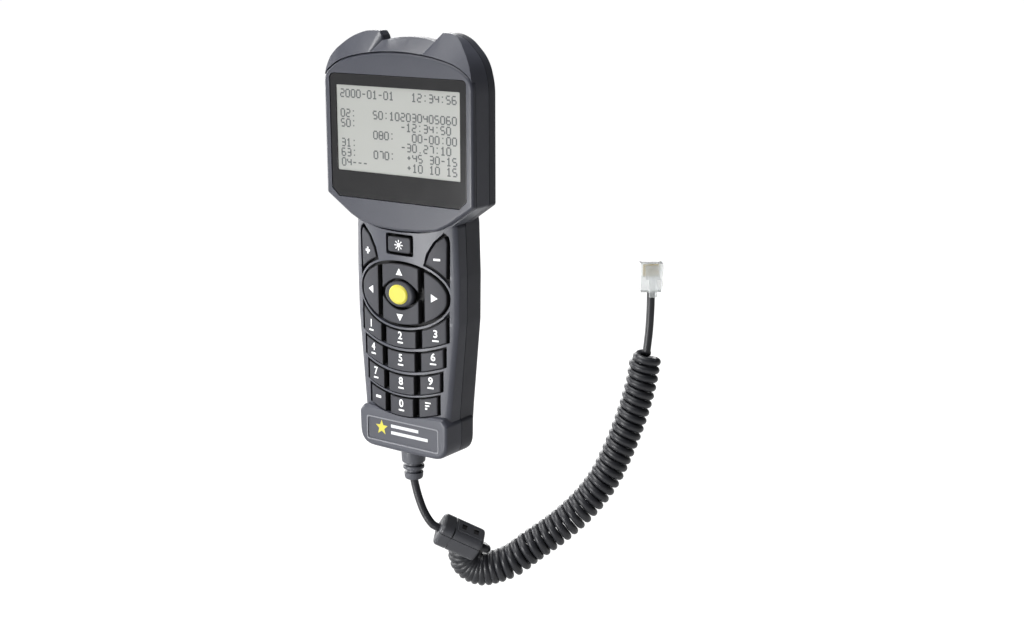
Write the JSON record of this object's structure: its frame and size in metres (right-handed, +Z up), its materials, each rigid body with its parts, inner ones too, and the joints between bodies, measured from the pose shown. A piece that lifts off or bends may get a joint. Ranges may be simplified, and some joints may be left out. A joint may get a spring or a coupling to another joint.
{
  "type": "telescope hand controller",
  "caption": "Hand controller with a wide display head, rubber keypad and foot, on a curly cord with a clip-on ferrite core and a modular plug.",
  "frame": {"origin": "centre of the neck below the display head, where a tripod tray's fork carries the handset, on the casing's seam plane", "axes": "+Z up along the handset towards the display end, -Y the side with the display and keys, +X to the right of someone who faces the keys"},
  "size_m": [0.124, 0.0804, 0.2432],
  "materials": {
    "body_plastic": "fine spark-eroded texture, dark blue-grey",
    "fascia_plastic": "fine texture, a shade lighter than the casing",
    "key_rubber": "smooth silicone, dark grey, white printed marks",
    "yellow_rubber": "smooth silicone, bright yellow",
    "lens_acrylic": "clear acrylic, printed dark round the display",
    "lcd_glass": "pale grey-green positive display",
    "light_guide": "milky, satin",
    "steel": "bright zinc, satin",
    "mat_silicone": "matt",
    "board_green": "green solder mask, satin",
    "chip_black": "matt black epoxy",
    "header_nylon": "natural nylon, satin",
    "badge_film": "satin film",
    "relief_rubber": "matt soft vinyl",
    "ferrite_plastic": "satin black",
    "ferrite_grey": "sintered, matt",
    "cord_jacket": "satin vinyl, near black",
    "plug_clear": "clear polycarbonate",
    "gold": "polished"
  },
  "bodies": {
    "handset": {"front_shell": "body_plastic", "rear_shell": "body_plastic", "head_fascia": "fascia_plastic", "display_lens": "lens_acrylic", "lcd_bezel": "steel", "lcd_glass": "lcd_glass", "lcd_light_guide": "light_guide", "keypad_mat": "mat_silicone", "main_board": "board_green", "processor": "chip_black", "cord_header": "header_nylon", "badge_plate": "badge_film", "case_screw_1": "steel", "case_screw_2": "steel", "case_screw_3": "steel", "case_screw_4": "steel", "board_screw_1": "steel", "board_screw_2": "steel", "strain_relief": "relief_rubber", "ferrite_case": "ferrite_plastic", "ferrite_core_lower": "ferrite_grey", "cord_lead": "cord_jacket", "cord_coil": "cord_jacket", "cord_tail": "cord_jacket", "plug_body": "plug_clear", "plug_contacts": "gold"},
    "key_light": {"key_light": "key_rubber"},
    "key_plus": {"key_plus": "key_rubber"},
    "key_minus": {"key_minus": "key_rubber"},
    "key_up": {"key_up": "key_rubber"},
    "key_left": {"key_left": "key_rubber"},
    "key_right": {"key_right": "key_rubber"},
    "key_down": {"key_down": "key_rubber"},
    "key_enter": {"key_enter": "key_rubber", "enter_pad": "yellow_rubber"},
    "key_1": {"key_1": "key_rubber"},
    "key_2": {"key_2": "key_rubber"},
    "key_3": {"key_3": "key_rubber"},
    "key_4": {"key_4": "key_rubber"},
    "key_5": {"key_5": "key_rubber"},
    "key_6": {"key_6": "key_rubber"},
    "key_7": {"key_7": "key_rubber"},
    "key_8": {"key_8": "key_rubber"},
    "key_9": {"key_9": "key_rubber"},
    "key_menu": {"key_menu": "key_rubber"},
    "key_0": {"key_0": "key_rubber"},
    "key_function": {"key_function": "key_rubber"},
    "ferrite_lid": {"ferrite_lid": "ferrite_plastic", "ferrite_core_upper": "ferrite_grey"},
    "plug_latch": {"plug_latch": "plug_clear"}
  },
  "joints": [
    {"name": "press_light", "type": "slide", "parent": "handset", "child": "key_light", "axis": [0, 1, 0], "range_m": [0, 0.001], "stiffness_N_per_m": 800, "springref_m": -0.0005},
    {"name": "press_plus", "type": "slide", "parent": "handset", "child": "key_plus", "axis": [0, 1, 0], "range_m": [0, 0.001], "stiffness_N_per_m": 800, "springref_m": -0.0005},
    {"name": "press_minus", "type": "slide", "parent": "handset", "child": "key_minus", "axis": [0, 1, 0], "range_m": [0, 0.001], "stiffness_N_per_m": 800, "springref_m": -0.0005},
    {"name": "press_up", "type": "slide", "parent": "handset", "child": "key_up", "axis": [0, 1, 0], "range_m": [0, 0.001], "stiffness_N_per_m": 800, "springref_m": -0.0005},
    {"name": "press_left", "type": "slide", "parent": "handset", "child": "key_left", "axis": [0, 1, 0], "range_m": [0, 0.001], "stiffness_N_per_m": 800, "springref_m": -0.0005},
    {"name": "press_right", "type": "slide", "parent": "handset", "child": "key_right", "axis": [0, 1, 0], "range_m": [0, 0.001], "stiffness_N_per_m": 800, "springref_m": -0.0005},
    {"name": "press_down", "type": "slide", "parent": "handset", "child": "key_down", "axis": [0, 1, 0], "range_m": [0, 0.001], "stiffness_N_per_m": 800, "springref_m": -0.0005},
    {"name": "press_enter", "type": "slide", "parent": "handset", "child": "key_enter", "axis": [0, 1, 0], "range_m": [0, 0.001], "stiffness_N_per_m": 800, "springref_m": -0.0005},
    {"name": "press_1", "type": "slide", "parent": "handset", "child": "key_1", "axis": [0, 1, 0], "range_m": [0, 0.001], "stiffness_N_per_m": 800, "springref_m": -0.0005},
    {"name": "press_2", "type": "slide", "parent": "handset", "child": "key_2", "axis": [0, 1, 0], "range_m": [0, 0.001], "stiffness_N_per_m": 800, "springref_m": -0.0005},
    {"name": "press_3", "type": "slide", "parent": "handset", "child": "key_3", "axis": [0, 1, 0], "range_m": [0, 0.001], "stiffness_N_per_m": 800, "springref_m": -0.0005},
    {"name": "press_4", "type": "slide", "parent": "handset", "child": "key_4", "axis": [0, 1, 0], "range_m": [0, 0.001], "stiffness_N_per_m": 800, "springref_m": -0.0005},
    {"name": "press_5", "type": "slide", "parent": "handset", "child": "key_5", "axis": [0, 1, 0], "range_m": [0, 0.001], "stiffness_N_per_m": 800, "springref_m": -0.0005},
    {"name": "press_6", "type": "slide", "parent": "handset", "child": "key_6", "axis": [0, 1, 0], "range_m": [0, 0.001], "stiffness_N_per_m": 800, "springref_m": -0.0005},
    {"name": "press_7", "type": "slide", "parent": "handset", "child": "key_7", "axis": [0, 1, 0], "range_m": [0, 0.001], "stiffness_N_per_m": 800, "springref_m": -0.0005},
    {"name": "press_8", "type": "slide", "parent": "handset", "child": "key_8", "axis": [0, 1, 0], "range_m": [0, 0.001], "stiffness_N_per_m": 800, "springref_m": -0.0005},
    {"name": "press_9", "type": "slide", "parent": "handset", "child": "key_9", "axis": [0, 1, 0], "range_m": [0, 0.001], "stiffness_N_per_m": 800, "springref_m": -0.0005},
    {"name": "press_menu", "type": "slide", "parent": "handset", "child": "key_menu", "axis": [0, 1, 0], "range_m": [0, 0.001], "stiffness_N_per_m": 800, "springref_m": -0.0005},
    {"name": "press_0", "type": "slide", "parent": "handset", "child": "key_0", "axis": [0, 1, 0], "range_m": [0, 0.001], "stiffness_N_per_m": 800, "springref_m": -0.0005},
    {"name": "press_function", "type": "slide", "parent": "handset", "child": "key_function", "axis": [0, 1, 0], "range_m": [0, 0.001], "stiffness_N_per_m": 800, "springref_m": -0.0005},
    {"name": "open_ferrite", "type": "hinge", "parent": "handset", "child": "ferrite_lid", "pos_m": [0.01443, 0.01062, -0.141], "axis": [-0.6895, -0.5643, 0.454], "range_deg": [0, 100]},
    {"name": "squeeze_latch", "type": "hinge", "parent": "handset", "child": "plug_latch", "pos_m": [0.08139, 0.05987, -0.0211], "axis": [0.7738, 0.6334, 0], "range_deg": [0, 9], "stiffness_Nm_per_rad": 0.3, "springref_deg": -2.86}
  ]
}
